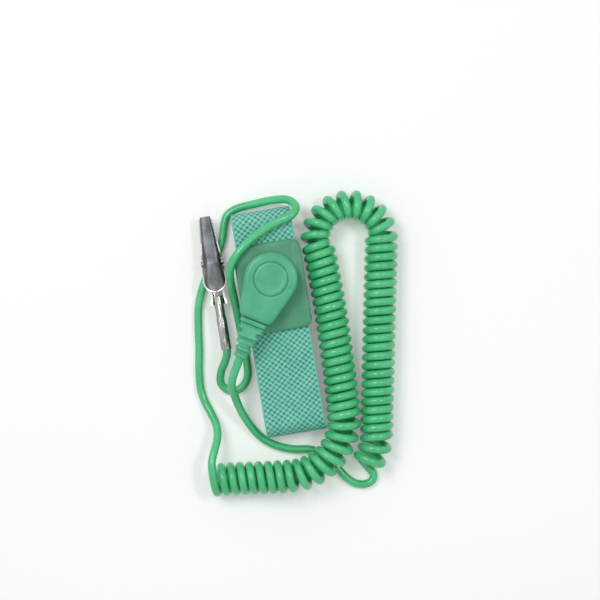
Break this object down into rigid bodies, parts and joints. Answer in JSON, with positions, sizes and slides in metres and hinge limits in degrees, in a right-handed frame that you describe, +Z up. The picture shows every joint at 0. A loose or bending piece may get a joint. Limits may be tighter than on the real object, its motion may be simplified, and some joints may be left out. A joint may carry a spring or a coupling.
{
  "type": "esd wrist strap",
  "caption": "Elastic wristband with a snap clasp, a curly ground cord that snaps on through a strain relief, and a sprung alligator clip on the cord's far end.",
  "frame": {"origin": "middle of the flattened wristband loop, on the table it lies on", "axes": "+Y along the flattened loop towards the clasp end, +Z up from the table along the snap stud, +X towards the curly cord"},
  "size_m": [0.0734, 0.0993, 0.0189],
  "materials": {
    "band": "woven elastic with a fine light diamond weave",
    "clasp": "satin moulded plastic",
    "head": "soft gloss moulded plastic",
    "cord": "glossy polyurethane jacket",
    "nickel": "nickel plated sheet steel, slightly dull",
    "steel": "stainless steel",
    "copper": "bare tinsel wire",
    "resistor": "lacquered ceramic"
  },
  "bodies": {
    "wristband": {"elastic_band": "band", "clasp_base": "clasp", "clasp_cover": "clasp", "contact_plate": "steel", "stud_rivet": "steel", "snap_stud": "steel", "snap_lead": "cord", "coil_cord": "cord", "clip_lead": "cord", "lower_jaw": "nickel", "pivot_pin": "nickel", "jaw_spring": "steel", "clip_barrel": "nickel", "barrel_wire": "copper"},
    "snap_ring": {"socket_spring": "steel"},
    "snap_head": {"snap_socket": "steel", "head_housing": "head", "head_cap": "head", "solder_tab": "steel", "safety_resistor": "resistor", "resistor_leads": "steel", "wire_tail": "copper", "strain_relief": "head"},
    "clip_upper": {"upper_jaw": "nickel"}
  },
  "joints": [
    {"name": "snap_release", "type": "slide", "parent": "wristband", "child": "snap_ring", "axis": [0, 0, 1], "range_m": [0, 0.006], "deforming": ["snap_lead", "socket_spring"]},
    {"name": "snap_swivel", "type": "hinge", "parent": "snap_ring", "child": "snap_head", "pos_m": [0, 0.014, 0.0129], "axis": [0, 0, 1], "range_deg": [-30, 15], "deforming": ["snap_lead"]},
    {"name": "clip_jaw", "type": "hinge", "parent": "wristband", "child": "clip_upper", "pos_m": [-0.0182, 0.0225, 0.00487], "axis": [1, 0, 0], "range_deg": [0, 28], "stiffness_Nm_per_rad": 0.04, "springref_deg": -57.3, "deforming": ["jaw_spring"]}
  ]
}
